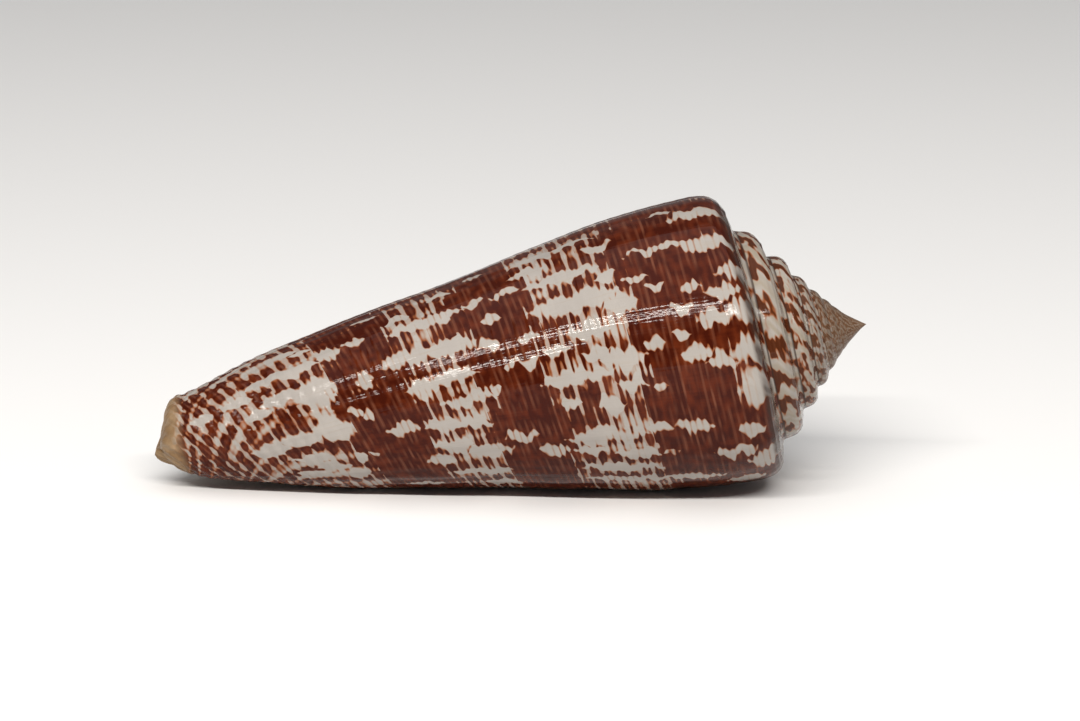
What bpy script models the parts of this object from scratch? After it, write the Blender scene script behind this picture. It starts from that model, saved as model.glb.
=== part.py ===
"""A cone shell lying on its aperture side, apex towards +X and pointing a little up.

The outside is one surface wound round the coiling axis: a narrow ramp and a rounded shoulder that
each whorl repeats at a larger size, and below the last shoulder the long tapering side. The room
inside the last whorl is a second wound body, and it is cut out so that it opens along the lip.
"""

import math

import bmesh
import bpy
from mathutils import Matrix, Vector

MM = 0.001

# Coiling
WHORL_GROWTH = 1.37
TURNS = 9
STEPS_PER_TURN = 40
APEX_RISE = 0.77
APEX_ROUNDING = 0.05

# The whorl's outline at the lip, from the suture over the ramp and shoulder to the next suture:
# distance from the axis and depth below the apex, in mm
SHOULDER = (
    (11.87, 11.00),
    (12.75, 11.24),
    (13.80, 11.40),
    (14.62, 11.68),
    (15.20, 12.16),
    (15.62, 12.95),
    (15.93, 14.50),
)
SUTURE_DEPTH = SHOULDER[-1][1]
# The steps between whorls fade towards the apex: whorl sizes where they begin and are full
STEP_BEGINS = 0.10
STEP_FULL = 0.42

# The side below the last suture: share of its height, and distance from the axis at the lip
SIDE = (
    (0.00, 15.93),
    (0.15, 15.30),
    (0.30, 13.75),
    (0.45, 12.10),
    (0.60, 10.85),
    (0.75, 9.60),
    (0.87, 8.15),
    (1.00, 5.85),
)
SIDE_ROWS = 12
SIDE_PINCH = 0.53
FRONT_DEPTH = 62.9
TIP_DEPTH = 65.4
# The front end closes over these: share of the radius, share of the way to the tip
FRONT_ROUNDING = ((0.87, 0.30), (0.45, 0.75))
TWIST_MIDDLE = math.radians(5)
TWIST_FRONT = math.radians(-16)

# The room inside the last whorl
WALL = 1.25
LIP_THICKNESS = 0.6
LIP_TAPER_TURNS = 0.10
ROOM_TURNS = 0.86
ROOM_STEPS_BEFORE_LIP = 26
MOUTH_TURNS = 0.05
INNER_RELIEF = 0.25
RELIEF_PER_TURN = 4.0
CANAL_TURNS = 0.16
CANAL_CLOSED_TURNS = 0.30
CANAL_CLOSED_DEPTH = 56.0
ROOM_END_DEPTH = 48.0
PAST_TIP = 68.0
ROOM_SIDE_ROWS = 9

# How it lies
LIP_ANGLE = math.radians(309.5)
AXIS_PITCH = math.radians(10.2)
ROLL = math.radians(0)
FLAT_DEPTH = 0.08


def whorl_scale(turn):
    """Size of the whorl at this turn against the last one's size at the lip."""
    return WHORL_GROWTH ** (turn - TURNS)


def apex_offset(scale):
    """The first whorls are drawn up into a sharp point."""
    return APEX_RISE * (1 - math.exp(-scale / APEX_ROUNDING))


def side_radius(share):
    """Distance from the axis at the lip, smoothly through the points of SIDE."""
    share = min(max(share, 0), 1)
    last = len(SIDE) - 1
    i = 0
    while i < last - 1 and share > SIDE[i + 1][0]:
        i += 1
    slopes = []
    for j in (i, i + 1):
        before = SIDE[max(j - 1, 0)]
        after = SIDE[min(j + 1, last)]
        slopes.append((after[1] - before[1]) / (after[0] - before[0]))
    (x0, y0), (x1, y1) = SIDE[i], SIDE[i + 1]
    width = x1 - x0
    t = (share - x0) / width
    rise = (2 * t**3 - 3 * t**2 + 1) * y0 + (3 * t**2 - 2 * t**3) * y1
    return rise + width * ((t**3 - 2 * t**2 + t) * slopes[0] + (t**3 - t**2) * slopes[1])


def side_start(turn):
    scale = whorl_scale(turn)
    return scale * SUTURE_DEPTH + apex_offset(scale)


def side_point(turn, share):
    """Radius and depth on the side below the suture of this turn."""
    start = side_start(turn)
    depth = start + (FRONT_DEPTH - start) * share
    pinch = 1 - SIDE_PINCH * share**3 * (TURNS - turn)
    return whorl_scale(turn) * side_radius(share) * pinch, depth


def side_at_depth(turn, depth):
    start = side_start(turn)
    share = min(max((depth - start) / (FRONT_DEPTH - start), 0), 1)
    return side_point(turn, share)[0]


def shoulder_point(turn, row):
    """Radius and depth on the ramp or shoulder: early whorls are nearer to a plain cone."""
    scale = whorl_scale(turn)
    end = Vector(SHOULDER[-1])
    plain = end / WHORL_GROWTH + (end - end / WHORL_GROWTH) * (row + 1) / len(SHOULDER)
    share = min(max((scale - STEP_BEGINS) / (STEP_FULL - STEP_BEGINS), 0), 1)
    radius, depth = plain.lerp(Vector(SHOULDER[row]), share)
    return scale * radius, scale * depth + apex_offset(scale)


def twist(depth):
    """The growth lines lean forward in the middle of the side and back at the front end."""
    share = min(max((depth - SUTURE_DEPTH) / (TIP_DEPTH - SUTURE_DEPTH), 0), 1)
    middle = TWIST_MIDDLE * math.sin(math.pi * share)
    return middle + TWIST_FRONT * share**3


def place(turn, radius, depth):
    """A point of the shell with its axis along X and the apex at the origin."""
    angle = LIP_ANGLE + (turn - TURNS) * math.tau + twist(depth)
    return Vector(
        (
            -depth * MM,
            -radius * math.sin(angle) * MM,
            -radius * math.cos(angle) * MM,
        )
    )


def outer_column(turn):
    """Points of the whorl's outside along one growth line, down to the next suture."""
    return [shoulder_point(turn, row) for row in range(len(SHOULDER))]


def side_column(turn):
    """Points from the last suture to the front end."""
    points = [side_point(turn, row / SIDE_ROWS) for row in range(1, SIDE_ROWS + 1)]
    radius = points[-1][0]
    for narrowing, advance in FRONT_ROUNDING:
        points.append((radius * narrowing, FRONT_DEPTH + (TIP_DEPTH - FRONT_DEPTH) * advance))
    return points


def wound_body():
    """The whole outside as one closed surface, solid inside."""
    mesh = bmesh.new()
    columns = []
    apex = mesh.verts.new(place(0, 0, 0))
    tip = mesh.verts.new(place(TURNS, 0, TIP_DEPTH))
    steps = TURNS * STEPS_PER_TURN
    for step in range(steps + 1):
        turn = step / STEPS_PER_TURN
        earlier = step - STEPS_PER_TURN
        suture = apex if earlier < 0 else columns[earlier][len(SHOULDER)]
        column = [suture]
        column += [mesh.verts.new(place(turn, *p)) for p in outer_column(turn)]
        if earlier >= steps - 2 * STEPS_PER_TURN:
            column += [mesh.verts.new(place(turn, *p)) for p in side_column(turn)]
            column.append(tip)
        columns.append(column)
    for first, second in zip(columns, columns[1:]):
        rows = min(len(first), len(second))
        for row in range(rows - 1):
            corners = (first[row], first[row + 1], second[row + 1], second[row])
            mesh.faces.new(dict.fromkeys(corners))
    mesh.faces.new(columns[0])
    lip, inner = columns[-1], columns[-1 - STEPS_PER_TURN]
    bottom = len(SHOULDER)
    mesh.faces.new(lip[: bottom + 1])
    for row in range(bottom, len(lip) - 1):
        corners = (lip[row], inner[row], inner[row + 1], lip[row + 1])
        mesh.faces.new(dict.fromkeys(corners))
    return mesh


def wall_thickness(turn):
    share = min(max((TURNS - turn) / LIP_TAPER_TURNS, 0), 1)
    return LIP_THICKNESS + (WALL - LIP_THICKNESS) * share


def room_floor(turn):
    """Depth at which the room ends: past the tip near the lip, where it is the open canal."""
    behind = TURNS - turn
    if behind <= CANAL_TURNS:
        return PAST_TIP
    if behind <= CANAL_CLOSED_TURNS:
        share = (behind - CANAL_TURNS) / (CANAL_CLOSED_TURNS - CANAL_TURNS)
        return FRONT_DEPTH + (CANAL_CLOSED_DEPTH - FRONT_DEPTH) * share
    share = (behind - CANAL_CLOSED_TURNS) / (ROOM_TURNS - CANAL_CLOSED_TURNS)
    return CANAL_CLOSED_DEPTH + (ROOM_END_DEPTH - CANAL_CLOSED_DEPTH) * share


def room_section(turn):
    """Outline of the room at this turn: down the inside of the wall, up the earlier whorl."""
    wall = wall_thickness(turn)
    outline = [shoulder_point(turn, row) for row in range(len(SHOULDER))]
    outer = []
    for row in range(1, len(outline)):
        before = Vector(outline[row - 1])
        after = Vector(outline[min(row + 1, len(outline) - 1)])
        along = (after - before).normalized()
        outer.append(Vector(outline[row]) + Vector((-along.y, along.x)) * wall)
    floor = room_floor(turn)
    start = outer[-1].y
    for row in range(1, ROOM_SIDE_ROWS + 1):
        depth = start + (floor - start) * row / ROOM_SIDE_ROWS
        outer.append(Vector((side_at_depth(turn, depth) - wall, depth)))
    relief = min((TURNS - turn) * RELIEF_PER_TURN, INNER_RELIEF)
    inner = [(side_at_depth(turn - 1, p.y) - relief, p.y) for p in outer]
    return [tuple(p) for p in outer] + inner[::-1]


def room_body():
    """The room as a closed body that runs out past the lip."""
    mesh = bmesh.new()
    sections = []
    for step in range(ROOM_STEPS_BEFORE_LIP + 1):
        turn = TURNS - ROOM_TURNS * (1 - step / ROOM_STEPS_BEFORE_LIP)
        sections.append([mesh.verts.new(place(turn, *p)) for p in room_section(turn)])
    mouth = TURNS + MOUTH_TURNS
    sections.append([mesh.verts.new(place(mouth, *p)) for p in room_section(mouth)])
    for first, second in zip(sections, sections[1:]):
        for row in range(len(first)):
            after = (row + 1) % len(first)
            mesh.faces.new((first[row], first[after], second[after], second[row]))
    half = len(sections[0]) // 2
    for section in (sections[0], sections[-1]):
        for row in range(half - 1):
            opposite = len(section) - 1 - row
            mesh.faces.new(
                (section[row], section[row + 1], section[opposite - 1], section[opposite])
            )
    return mesh


def new_object(name, mesh, collection):
    bmesh.ops.recalc_face_normals(mesh, faces=mesh.faces)
    bmesh.ops.triangulate(mesh, faces=mesh.faces)
    data = bpy.data.meshes.new(name)
    mesh.to_mesh(data)
    mesh.free()
    obj = bpy.data.objects.new(name, data)
    collection.objects.link(obj)
    return obj


def new_collection(name):
    collection = bpy.data.collections.new(name)
    bpy.context.scene.collection.children.link(collection)
    return collection


def cut(target, cutter, name):
    modifier = target.modifiers.new(name, "BOOLEAN")
    modifier.operation = "DIFFERENCE"
    modifier.solver = "EXACT"
    modifier.object = cutter


def principled(name, colour, roughness):
    material = bpy.data.materials.new(name)
    material.use_nodes = True
    shader = material.node_tree.nodes["Principled BSDF"]
    shader.inputs["Base Color"].default_value = (*colour, 1)
    shader.inputs["Roughness"].default_value = roughness
    shader.inputs["Metallic"].default_value = 0
    return material


for old in list(bpy.data.objects):
    bpy.data.objects.remove(old)

shell_collection = new_collection("cone_shell_parts")
cutter_collection = new_collection("cutters")
shell = new_object("cone_shell", wound_body(), shell_collection)
room = new_object("room_inside", room_body(), cutter_collection)

# Laying it down: the axis is pitched up at the apex, and the shell moved to stand on the floor
lying = Matrix.Rotation(-AXIS_PITCH, 4, "Y") @ Matrix.Rotation(ROLL, 4, "X")
for obj in (shell, room):
    obj.data.transform(lying)
corners = [v.co for v in shell.data.vertices]
low = Vector([min(c[i] for c in corners) for i in range(3)])
high = Vector([max(c[i] for c in corners) for i in range(3)])
middle = (low + high) / 2
shift = Vector((-middle.x, -middle.y, -low.z - FLAT_DEPTH * MM))
for obj in (shell, room):
    obj.data.transform(Matrix.Translation(shift))

# The floor takes a hair off the two places where the shell rests, which leaves them flat
block = bmesh.new()
bmesh.ops.create_cube(block, size=1)
block_size = Matrix.Diagonal((0.2, 0.1, 0.02, 1))
bmesh.ops.transform(block, matrix=Matrix.Translation((0, 0, -0.01)) @ block_size, verts=block.verts)
floor_block = new_object("floor_block", block, cutter_collection)

for cutter in (room, floor_block):
    cutter.hide_render = True
    cutter.display_type = "WIRE"
cut(shell, room, "room_inside")
cut(shell, floor_block, "floor")

for face in shell.data.polygons:
    face.use_smooth = True
shell.data.materials.append(principled("shell", (0.42, 0.22, 0.14), 0.25))
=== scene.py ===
# %% [markdown]
# # A cone shell, wound by rule
#
# A snail builds its shell by adding to the edge of the opening, always at the same rate and always
# a little larger. Every point of the finished shell can therefore be named by two numbers: how many
# turns had been grown when it was laid down, and how far it lies down the outline of that turn.
# This lesson makes the whole shell from that rule with Geometry Nodes, and then paints it in the
# same two numbers, because the animal laid down its colours in the same way.

import math

import bpy
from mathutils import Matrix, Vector


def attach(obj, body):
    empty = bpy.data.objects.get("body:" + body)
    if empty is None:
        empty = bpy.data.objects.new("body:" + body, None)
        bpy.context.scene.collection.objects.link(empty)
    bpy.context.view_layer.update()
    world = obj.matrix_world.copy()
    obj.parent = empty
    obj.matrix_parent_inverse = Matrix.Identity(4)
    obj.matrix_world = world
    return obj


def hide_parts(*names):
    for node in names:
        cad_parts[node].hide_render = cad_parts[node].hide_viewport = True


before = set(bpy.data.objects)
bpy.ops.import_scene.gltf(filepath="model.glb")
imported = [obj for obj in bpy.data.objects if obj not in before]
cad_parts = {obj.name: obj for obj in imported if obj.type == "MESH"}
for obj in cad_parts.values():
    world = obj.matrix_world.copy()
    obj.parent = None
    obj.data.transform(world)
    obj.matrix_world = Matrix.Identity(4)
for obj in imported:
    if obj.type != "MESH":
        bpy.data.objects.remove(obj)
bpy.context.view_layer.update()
MM = 0.001

# %% [markdown]
# ## Formulas out of nodes
#
# A node tree is easy to read when it is small, but a growth law takes a hundred Math nodes. They
# could be placed one by one, or the mesh could be computed in Python and the rule be lost. Here a
# small class lets ordinary arithmetic place the nodes: adding two flows adds an Add node.


# %% Let arithmetic place Math nodes
class Flow:
    """A number or vector on its way through a node tree."""

    def __init__(self, tree, socket):
        self.tree = tree
        self.socket = socket

    def math(self, operation, *others):
        return math_node(self.tree, operation, self, *others)

    def __add__(self, other):
        return self.math("ADD", other)

    def __radd__(self, other):
        return self.math("ADD", other)

    def __sub__(self, other):
        return self.math("SUBTRACT", other)

    def __rsub__(self, other):
        return math_node(self.tree, "SUBTRACT", other, self)

    def __mul__(self, other):
        return self.math("MULTIPLY", other)

    def __rmul__(self, other):
        return self.math("MULTIPLY", other)

    def __truediv__(self, other):
        return self.math("DIVIDE", other)

    def __pow__(self, other):
        return self.math("POWER", other)

    def __rpow__(self, other):
        return math_node(self.tree, "POWER", other, self)

    def share(self, begin, end):
        """How far this value has gone from begin to end, from 0 to 1."""
        node = self.tree.nodes.new("ShaderNodeMapRange")
        feed(self.tree, node.inputs["Value"], self)
        feed(self.tree, node.inputs["From Min"], begin)
        feed(self.tree, node.inputs["From Max"], end)
        return Flow(self.tree, node.outputs["Result"])

    def smooth(self, begin, end):
        """Like share, but it starts and ends gently."""
        result = self.share(begin, end)
        result.socket.node.interpolation_type = "SMOOTHSTEP"
        return result

    def between(self, first, second):
        """The value that is this share of the way from first to second."""
        return first + self * (second - first)


def feed(tree, socket, value):
    """Link a flow to a socket, or set the socket to a plain value."""
    if isinstance(value, Flow):
        tree.links.new(value.socket, socket)
    else:
        socket.default_value = value


def math_node(tree, operation, *values):
    node = tree.nodes.new("ShaderNodeMath")
    node.operation = operation
    for socket, value in zip(node.inputs, values):
        feed(tree, socket, value)
    return Flow(tree, node.outputs[0])


# %% [markdown]
# ## Groups with named inputs
#
# Each part of the rule becomes one node group. These helpers make a group with named sockets, place
# a group in another tree, and place any other node. Noise is chance that stays the same: a grain
# says how fine it is in both directions, and its seed picks one pattern for good.


# %% Make and use node groups
SOCKETS = {
    "number": "NodeSocketFloat",
    "count": "NodeSocketInt",
    "vector": "NodeSocketVector",
    "colour": "NodeSocketColor",
    "mesh": "NodeSocketGeometry",
    "material": "NodeSocketMaterial",
}


def new_group(name, kind, inputs, outputs):
    """A node tree with the named sockets; returns it and its inputs as flows."""
    tree = bpy.data.node_groups.new(name, kind)
    for label, socket in inputs.items():
        tree.interface.new_socket(label, in_out="INPUT", socket_type=SOCKETS[socket])
    for label, socket in outputs.items():
        tree.interface.new_socket(label, in_out="OUTPUT", socket_type=SOCKETS[socket])
    entry = tree.nodes.new("NodeGroupInput")
    tree.nodes.new("NodeGroupOutput")
    return tree, [Flow(tree, entry.outputs[label]) for label in inputs]


def give(tree, **results):
    """Send flows to the group's outputs; an underscore stands for a space."""
    exit_node = next(node for node in tree.nodes if node.type == "GROUP_OUTPUT")
    for label, value in results.items():
        feed(tree, exit_node.inputs[label.replace("_", " ")], value)


def place_node(tree, kind, settings=None, **inputs):
    """A node with its settings and inputs; an underscore in an input's name stands for a space."""
    node = tree.nodes.new(kind)
    for name, value in (settings or {}).items():
        setattr(node, name, value)
    for label, value in inputs.items():
        feed(tree, node.inputs[label.replace("_", " ")], value)
    return node


def step(tree, kind, settings=None, **inputs):
    """A node like place_node's; returns its first output as a flow."""
    return Flow(tree, place_node(tree, kind, settings, **inputs).outputs[0])


def use(tree, group, *values):
    """Place a group with its inputs in order; returns its outputs as flows."""
    kind = "ShaderNodeGroup" if tree.bl_idname == "ShaderNodeTree" else "GeometryNodeGroup"
    node = tree.nodes.new(kind)
    node.node_tree = group
    for socket, value in zip(node.inputs, values):
        feed(tree, socket, value)
    return [Flow(tree, socket) for socket in node.outputs]


def combine(tree, x, y, z):
    return step(tree, "ShaderNodeCombineXYZ", X=x, Y=y, Z=z)


def separate(tree, vector):
    node = place_node(tree, "ShaderNodeSeparateXYZ", Vector=vector)
    return [Flow(tree, socket) for socket in node.outputs]


def noise(tree, x, y, grain, detail=0.0):
    """Smooth noise of about -1 to 1; a grain is its waves per unit of x, of y, and its seed."""
    x_waves, y_waves, seed = grain
    spot = combine(tree, x * x_waves, y * y_waves, seed)
    factor = step(tree, "ShaderNodeTexNoise", Vector=spot, Scale=1.0, Detail=detail)
    return (factor - 0.5) * 4.0


print("kinds of socket:", ", ".join(SOCKETS))

# %% [markdown]
# ## How large each turn is
#
# Each turn of this shell is 1.37 times as large as the one before. It starts as a tiny bud that
# swells over two thirds of a turn, so that the very tip closes, and the first turns are drawn up
# into a sharp point.

# %% Size of the shell at any turn
WHORL_GROWTH = 1.37
TURNS = 9
BUD_SHARE = 0.12
BUD_TURNS = 0.004
SWELLING_TURNS = 0.65
APEX_RISE = 0.77
APEX_ROUNDING = 0.05
GEOMETRY = "GeometryNodeTree"

whorl_size, (turn,) = new_group(
    "Whorl size", GEOMETRY, {"Turn": "number"}, {"Scale": "number", "Apex offset": "number"}
)
swelling = turn.share(0, BUD_TURNS) * BUD_SHARE + turn.share(0, SWELLING_TURNS) * (1 - BUD_SHARE)
scale = WHORL_GROWTH ** (turn - TURNS) * swelling
rise = APEX_RISE * (1 - (scale / -APEX_ROUNDING).math("EXPONENT"))
give(whorl_size, Scale=scale, Apex_offset=rise)
first_turn = round(1000 * WHORL_GROWTH ** (1 - TURNS))
print("the first whole turn is", first_turn, "thousandths of the last")

# %% [markdown]
# ## The outline of one turn
#
# From the seam with the turn before, the outline crosses a narrow ramp, goes round the shoulder and
# down the long side. It could be a Bezier curve drawn by hand. Float Curve nodes keep it inside the
# rule: they hold distance from the axis and depth below the apex, in millimetres at the lip. A
# curve may have an extra point past its end, which only makes it leave the end smoothly.


# %% Curves through given points
def curve_through(tree, points, along):
    """A Float Curve through (position, value) points; gives the value at this position."""
    places = [point[0] for point in points]
    values = [point[1] for point in points]
    first, last = min(places), max(places)
    low, high = min(values), max(values)
    node = tree.nodes.new("ShaderNodeFloatCurve")
    curve = node.mapping.curves[0]
    for place, value in points[1:-1]:
        curve.points.new((place - first) / (last - first), (value - low) / (high - low))
    ends = (curve.points[0], curve.points[-1])
    for end, (place, value) in zip(ends, (points[0], points[-1])):
        end.location = ((place - first) / (last - first), (value - low) / (high - low))
    node.mapping.update()
    feed(tree, node.inputs["Value"], along.share(first, last))
    return Flow(tree, node.outputs[0]) * (high - low) + low


# %% [markdown]
# The ramp and shoulder are given at the lip and shrink with the turn. The steps between turns are
# sharp on the last turns and fade to a plain cone towards the apex. The seam itself wanders a
# little, as it does on anything grown: the same wandering is used by the turn above and the turn
# below it, so that the two still meet.

# %% The ramp and the shoulder
SUTURE_RADIUS = 15.93
SUTURE_DEPTH = 14.5
RAMP_RADIUS = (
    (0 / 7, 11.63),
    (1 / 7, 11.87),
    (2 / 7, 12.75),
    (3 / 7, 13.80),
    (4 / 7, 14.62),
    (5 / 7, 15.20),
    (6 / 7, 15.66),
    (7 / 7, SUTURE_RADIUS),
    (8 / 7, 15.93),
)
RAMP_DEPTH = (
    (0 / 7, 10.58),
    (1 / 7, 11.00),
    (2 / 7, 11.24),
    (3 / 7, 11.40),
    (4 / 7, 11.68),
    (5 / 7, 12.16),
    (6 / 7, 12.95),
    (7 / 7, SUTURE_DEPTH),
    (8 / 7, 16.6),
)
STEP_BEGINS = 0.10
STEP_FULL = 0.42
SEAM_WANDER = 0.16
SEAM_GRAIN = (9.0, 3.5, 0.0)

seam_point, (turn,) = new_group(
    "Seam point", GEOMETRY, {"Turn": "number"}, {"Radius": "number", "Depth": "number"}
)
scale, rise = use(seam_point, whorl_size, turn)
wander = noise(seam_point, turn, 1.0, SEAM_GRAIN) * scale * SEAM_WANDER
give(
    seam_point,
    Radius=scale * SUTURE_RADIUS,
    Depth=scale * SUTURE_DEPTH + rise + wander,
)

ramp_outline, (turn, down) = new_group(
    "Ramp outline",
    GEOMETRY,
    {"Turn": "number", "Share": "number"},
    {"Radius": "number", "Depth": "number", "Lip depth": "number"},
)
upper_radius, upper_depth = use(ramp_outline, seam_point, turn - 1)
lower_radius, lower_depth = use(ramp_outline, seam_point, turn)
scale, rise = use(ramp_outline, whorl_size, turn)
plain_radius = down.between(upper_radius, lower_radius)
plain_depth = down.between(upper_depth, lower_depth)
lip_radius = curve_through(ramp_outline, RAMP_RADIUS, down)
lip_depth = curve_through(ramp_outline, RAMP_DEPTH, down)
step_radius = scale * lip_radius
step_depth = scale * lip_depth + rise
# What the seams' wandering and the curves' ends leave over is handed back along the ramp
upper_gap_r = upper_radius - scale * RAMP_RADIUS[0][1]
upper_gap_d = upper_depth - (scale * RAMP_DEPTH[0][1] + rise)
lower_gap_d = lower_depth - (scale * SUTURE_DEPTH + rise)
near_top = 1 - down.share(0, RAMP_RADIUS[1][0])
step_radius = step_radius + near_top * upper_gap_r
step_depth = step_depth + near_top * upper_gap_d + down * lower_gap_d * (1 - near_top)
stepped = scale.share(STEP_BEGINS, STEP_FULL)
even_depth = down * (SUTURE_DEPTH - RAMP_DEPTH[0][1]) + RAMP_DEPTH[0][1]
give(
    ramp_outline,
    Radius=stepped.between(plain_radius, step_radius),
    Depth=stepped.between(plain_depth, step_depth),
    Lip_depth=stepped.between(even_depth, lip_depth),
)
print("ramp and shoulder:", len(RAMP_RADIUS) - 1, "points each")

# %% [markdown]
# The side runs from the last shoulder to the front end. It narrows along a faint S, and an earlier
# growth line is pinched in towards the front, which is what closes the canal there. Then the front
# end rounds off over the last few millimetres.

# %% The side and the front end
SIDE = (
    (-0.12, 15.86),
    (0.00, 15.93),
    (0.15, 15.30),
    (0.30, 13.75),
    (0.45, 12.10),
    (0.60, 10.85),
    (0.75, 9.60),
    (0.87, 8.15),
    (1.00, 5.85),
    (1.10, 3.60),
)
SIDE_PINCH = 0.53
SEAM_BLEND = 0.15
FRONT_DEPTH = 62.9
TIP_DEPTH = 65.4
FRONT_FULLNESS = 0.62

side_radius, (turn, depth) = new_group(
    "Side radius",
    GEOMETRY,
    {"Turn": "number", "Depth": "number"},
    {"Radius": "number"},
)
scale, rise = use(side_radius, whorl_size, turn)
share = depth.share(scale * SUTURE_DEPTH + rise, FRONT_DEPTH)
pinch = 1 - SIDE_PINCH * share * share * share * (TURNS - turn)
give(side_radius, Radius=scale * pinch * curve_through(side_radius, SIDE, share))

side_outline, (turn, down, front) = new_group(
    "Side outline",
    GEOMETRY,
    {"Turn": "number", "Share": "number", "Front": "number"},
    {"Radius": "number", "Depth": "number", "Lip depth": "number"},
)
scale, rise = use(side_outline, whorl_size, turn)
seam_radius, seam_depth = use(side_outline, seam_point, turn)
start = scale * SUTURE_DEPTH + rise
depth = start + (FRONT_DEPTH - start) * down
(radius,) = use(side_outline, side_radius, turn, depth)
quarter = front * (math.pi / 2)
closing = quarter.math("COSINE").math("MAXIMUM", 0.0) ** FRONT_FULLNESS
near_seam = (1 - down.share(0, SEAM_BLEND)) ** 2.0
radius = radius * closing + near_seam * (seam_radius - scale * SIDE[1][1])
depth = depth + quarter.math("SINE") * (TIP_DEPTH - FRONT_DEPTH) + near_seam * (seam_depth - start)
give(side_outline, Radius=radius, Depth=depth, Lip_depth=(depth - rise) / scale)
print("side:", FRONT_DEPTH - SUTURE_DEPTH, "mm long at the lip")

# %% [markdown]
# ## Winding the outline round the axis
#
# A point of the outline is carried round the axis by its turn. The growth lines aren't quite
# straight: they lean forward in the middle of the side and sweep back at the front end, which a
# small twist by depth gives. The very end slopes back on both sides of a small spout, and bends up
# a little. The axis lies along X with the apex at the origin for now.

# %% Wind a point round the axis
LIP_ANGLE = math.radians(309.5)
TWIST_MIDDLE = math.radians(5)
TWIST_FRONT = math.radians(-16)
END_BEGINS = 61.5
END_SLOPE_BELOW = 0.30
END_BACK_ABOVE = 0.62
END_FLAT_ABOVE = 2.0
SPOUT_TOWARDS = math.radians(15)
SPOUT_OFF = 0.8
SPOUT_SIZE = 1.15
SPOUT_RISE = 0.85
BEND_BEGINS = 60.5
BEND_UP = 0.42

winding, (turn, radius, depth) = new_group(
    "Winding",
    GEOMETRY,
    {"Turn": "number", "Radius": "number", "Depth": "number"},
    {"Position": "vector"},
)
share = depth.share(SUTURE_DEPTH, TIP_DEPTH)
twist = (share * math.pi).math("SINE") * TWIST_MIDDLE + share * share * share * TWIST_FRONT
angle = (turn - TURNS) * math.tau + twist + LIP_ANGLE
# The spout sits a little below the axis, and the bend goes the other way, up
down = (angle - SPOUT_TOWARDS).math("COSINE") * radius
apart = radius * radius - down * (2 * SPOUT_OFF) + SPOUT_OFF**2
spout = (1 - apart / SPOUT_SIZE**2).math("MAXIMUM", 0.0) * SPOUT_RISE
back_below = down.math("MAXIMUM", 0.0) * END_SLOPE_BELOW
back_above = (down * -1).share(0, END_FLAT_ABOVE) * END_BACK_ABOVE
reach = depth.smooth(END_BEGINS, TIP_DEPTH) * (spout - back_below - back_above)
bend_up = depth.smooth(BEND_BEGINS, TIP_DEPTH) * BEND_UP
sideways = radius * angle.math("SINE") - bend_up * math.sin(SPOUT_TOWARDS)
downwards = radius * angle.math("COSINE") - bend_up * math.cos(SPOUT_TOWARDS)
give(
    winding,
    Position=combine(winding, (depth + reach) * -MM, sideways * -MM, downwards * -MM),
)
print("the lip stands at", round(math.degrees(LIP_ANGLE), 1), "degrees round the axis")

# %% [markdown]
# ## Relief of a grown surface
#
# Close to, the shell isn't smooth. Growth stopped and started, which leaves low uneven ridges along
# the lip's old positions; spiral threads run round the ramp and the front end; and the whole wall
# is slightly lumpy. Relief this large belongs in the mesh, so that outline and highlight follow it.
# The finest lines are left to the material.

# %% Relief in millimetres at any place
RIDGE_HEIGHT = 0.045
RIDGE_GRAIN = (55.0, 0.03, 1.0)
PAUSE_DEPTH = 0.10
PAUSE_GRAIN = (7.0, 0.02, 5.0)
LUMP_HEIGHT = 0.10
LUMP_GRAIN = (5.0, 0.12, 9.0)
THREAD_PITCH = 1.42
THREAD_HEIGHT = 0.012
FRONT_THREADS = (56, 64)
FRONT_THREAD_HEIGHT = 0.045
RAMP_THREADS_END = (11.3, 12.2)
RAMP_THREAD_PITCH = 0.33
RAMP_THREAD_HEIGHT = 0.05

relief, (turn, lip_depth) = new_group(
    "Relief",
    GEOMETRY,
    {"Turn": "number", "Lip depth": "number"},
    {"Height": "number"},
)
scale, _ = use(relief, whorl_size, turn)
ridges = noise(relief, turn, lip_depth, RIDGE_GRAIN) * RIDGE_HEIGHT
pauses = noise(relief, turn, lip_depth, PAUSE_GRAIN).math("ABSOLUTE") * -PAUSE_DEPTH
thread = (lip_depth * (math.tau / THREAD_PITCH)).math("COSINE")
thread_height = THREAD_HEIGHT + lip_depth.smooth(*FRONT_THREADS) * FRONT_THREAD_HEIGHT
ramp_thread = (lip_depth * (math.tau / RAMP_THREAD_PITCH)).math("COSINE") * RAMP_THREAD_HEIGHT
on_ramp = 1 - lip_depth.smooth(*RAMP_THREADS_END)
lumps = noise(relief, turn, lip_depth, LUMP_GRAIN) * LUMP_HEIGHT
height = ridges + pauses + thread * thread_height + on_ramp * ramp_thread + lumps
give(relief, Height=height * scale)
print("a growth pause is up to about", PAUSE_DEPTH, "mm deep")

# %% [markdown]
# ## Sheets of the surface
#
# A grid is the natural mesh for a surface with two coordinates: its X becomes the turn and its Y
# the place down the outline. One long grid makes the ramps and shoulders of all nine turns, and
# a second one the side of the last turn. Each corner keeps its turn and its depth at the lip as
# a UV map, which is stored before the sheets are welded, so that it can jump at a seam.


# %% Lay a grid on the shell
RAMP_ROWS = 14
COLUMNS_PER_TURN = 240
GROWTH_MAP = "growth"


def sheet(tree, columns, rows):
    """A grid, with its two coordinates from 0 to 1."""
    spread = {"Size_X": 1.0, "Size_Y": 1.0, "Vertices_X": columns, "Vertices_Y": rows}
    grid = step(tree, "GeometryNodeMeshGrid", **spread)
    x, y, _ = separate(tree, step(tree, "GeometryNodeInputPosition"))
    return grid, x + 0.5, y + 0.5


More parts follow.
